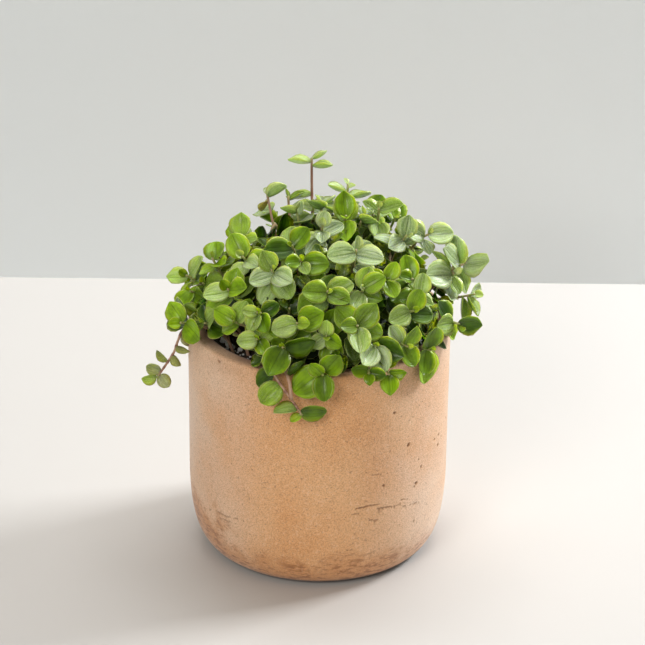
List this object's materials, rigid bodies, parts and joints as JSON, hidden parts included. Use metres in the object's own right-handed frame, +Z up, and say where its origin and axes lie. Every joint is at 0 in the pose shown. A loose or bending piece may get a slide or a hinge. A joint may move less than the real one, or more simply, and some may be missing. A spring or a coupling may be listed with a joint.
{
  "type": "potted creeping inch plant",
  "caption": "Straight-sided clay pot with a rounded foot, filled with soil, with a low mound of creeping stems of small oval leaves that spill over its rim.",
  "frame": {"origin": "centre of the pot's flat underside, on the surface that the pot stands on", "axes": "+Z up along the pot's axis, -Y towards the front of the mound as the picture shows it, +X to the right"},
  "size_m": [0.1785, 0.1603, 0.1961],
  "materials": {
    "clay": "matte",
    "soil": "matte",
    "foliage": "satin"
  },
  "bodies": {
    "root": {"pot": "clay", "soil": "soil", "back_1_1": "foliage", "back_1_3": "foliage", "back_2_1": "foliage", "back_2_3": "foliage", "back_2_5": "foliage", "back_2_7": "foliage", "back_3_1": "foliage", "back_3_3": "foliage", "back_3_5": "foliage", "back_4_2": "foliage", "back_bud": "foliage", "back_lime": "foliage", "crown": "foliage", "far_left": "foliage", "far_right": "foliage", "front_bright": "foliage", "front_foot": "foliage", "front_high": "foliage", "front_left": "foliage", "front_lime": "foliage", "front_notched": "foliage", "front_small": "foliage", "front_wide": "foliage", "left_bright": "foliage", "left_crown": "foliage", "left_dark": "foliage", "left_fold": "foliage", "left_inner": "foliage", "left_lime": "foliage", "left_reach": "foliage", "left_up": "foliage", "mid_bright": "foliage", "mid_right": "foliage", "pale_crown": "foliage", "pale_left": "foliage", "pale_pair": "foliage", "pale_rosette": "foliage", "pale_top": "foliage", "right_foot": "foliage", "right_front": "foliage", "right_gloss": "foliage", "right_low": "foliage", "right_mid": "foliage", "rim_far_left": "foliage", "rim_right": "foliage", "swirl": "foliage", "tall": "foliage", "thin_left": "foliage", "thin_right": "foliage", "trail_front": "foliage", "trail_left": "foliage"}
  },
  "joints": []
}
